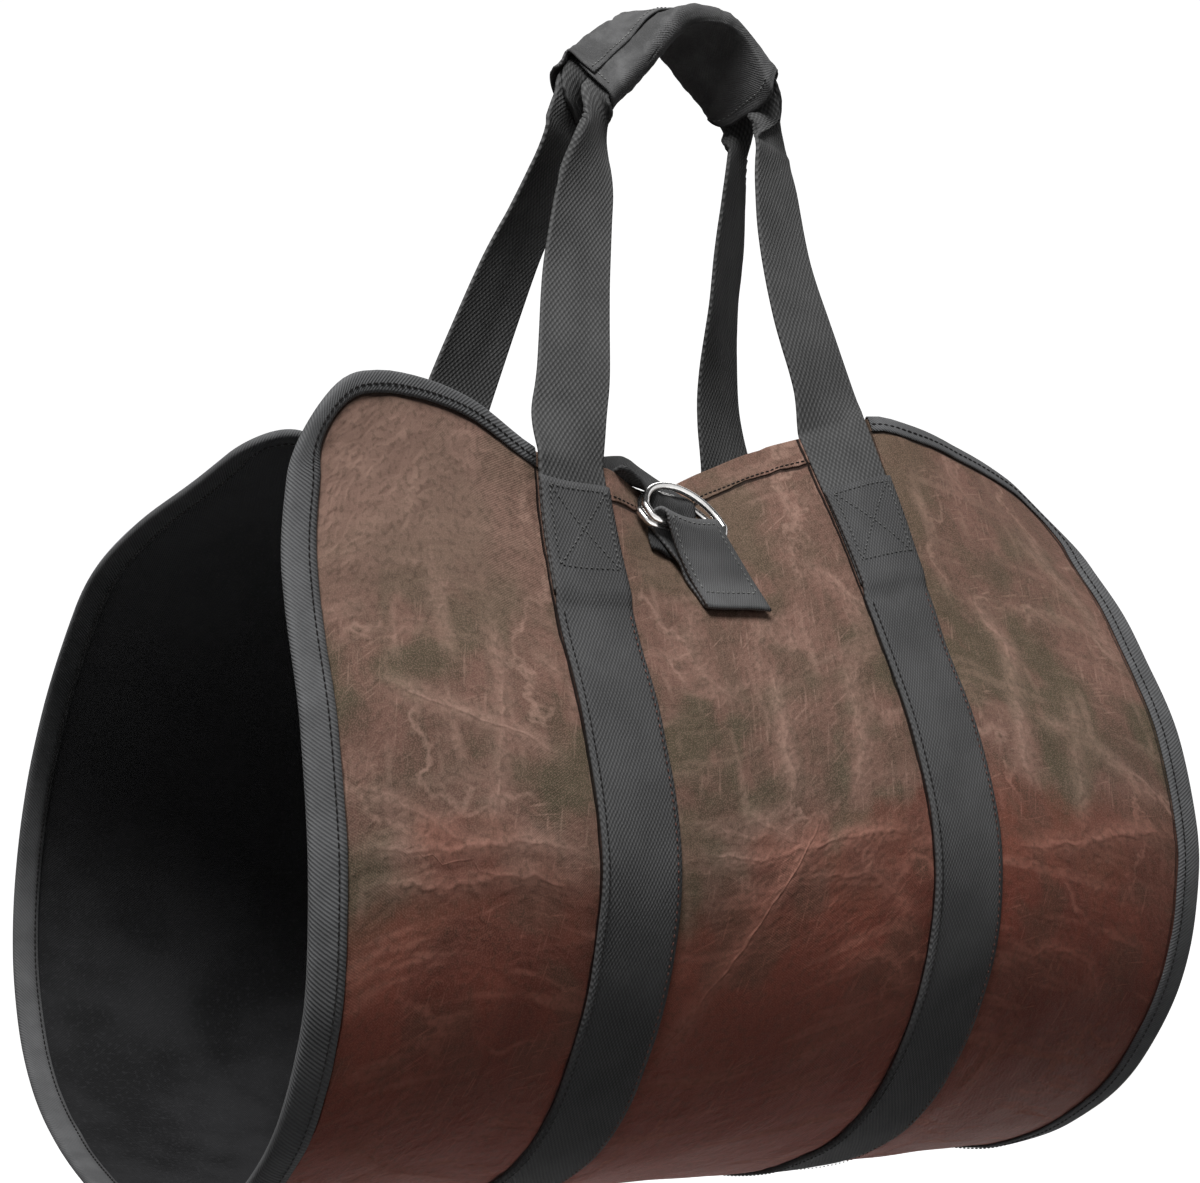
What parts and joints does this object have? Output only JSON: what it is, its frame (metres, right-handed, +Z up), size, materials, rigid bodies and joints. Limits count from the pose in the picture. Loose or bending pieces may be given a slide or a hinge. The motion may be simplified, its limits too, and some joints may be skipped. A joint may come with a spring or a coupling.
{
  "type": "firewood bag",
  "caption": "Waxed canvas firewood sling, open at both ends, with webbing handles joined by a cloth grip and a closure strap through rings.",
  "frame": {"origin": "the underside of the grip at the middle of its arch, where a hand or hook holds the bag up", "axes": "+Z up, +X along the bag towards the end that is far from the camera in the picture, -Y towards the front panel with the ring tab"},
  "size_m": [0.4636, 0.3989, 0.5968],
  "materials": {
    "waxed_canvas": "matt waxed cloth, brown outside, black inside",
    "binding_tape": "matt woven tape",
    "strap_webbing": "matt twill webbing",
    "handle_webbing": "matt herringbone webbing",
    "grip_cloth": "matt canvas",
    "nickel": "bright nickel plate"
  },
  "bodies": {
    "root": {"canvas_sheet": "waxed_canvas", "binding_left": "binding_tape", "binding_right": "binding_tape", "strap_left": "strap_webbing", "strap_right": "strap_webbing", "handle_front": "handle_webbing", "handle_back": "handle_webbing", "grip_wrap": "grip_cloth", "closure_strap": "strap_webbing", "ring_tab": "strap_webbing", "d_ring_1": "nickel", "d_ring_2": "nickel"}
  },
  "joints": []
}
